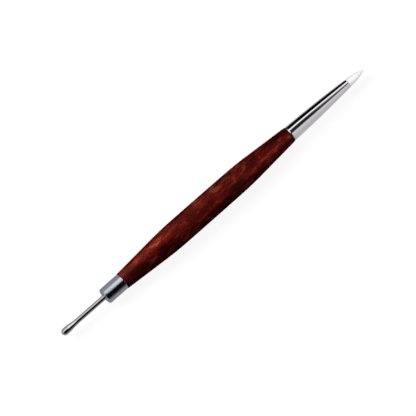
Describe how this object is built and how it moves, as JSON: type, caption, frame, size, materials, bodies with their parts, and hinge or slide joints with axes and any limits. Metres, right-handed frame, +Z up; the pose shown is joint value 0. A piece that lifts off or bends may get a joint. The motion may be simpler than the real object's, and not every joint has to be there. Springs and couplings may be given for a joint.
{
  "type": "nail art brush",
  "caption": "Double-ended nail art tool: turned wooden handle with a pointed bristle brush in a tapered metal ferrule, and a ball-tipped dotting stylus in a collar.",
  "frame": {"origin": "on the surface that the tool lies on, under the middle of its length", "axes": "+X along the tool, from the dotting ball towards the brush tip; +Z up, away from the surface that it lies on"},
  "size_m": [0.156, 0.0104, 0.0104],
  "materials": {
    "lacquered_wood": "dark red-brown hardwood under clear semi-gloss lacquer",
    "collar_metal": "turned and polished, with a faint cool tint",
    "ferrule_metal": "polished chrome plate",
    "steel": "polished stainless steel",
    "bristles": "white nylon filament",
    "resin": "set epoxy resin",
    "thread": "waxed cotton thread"
  },
  "bodies": {
    "root": {"handle": "lacquered_wood", "collar": "collar_metal", "collar_glue": "resin", "dotting_stylus": "steel", "stylus_glue": "resin", "ferrule": "ferrule_metal", "ferrule_glue": "resin", "resin_plug": "resin", "binding_thread": "thread", "bristle_core": "bristles", "bristle_inner": "bristles", "bristle_belly": "bristles", "bristle_outer": "bristles"}
  },
  "joints": []
}
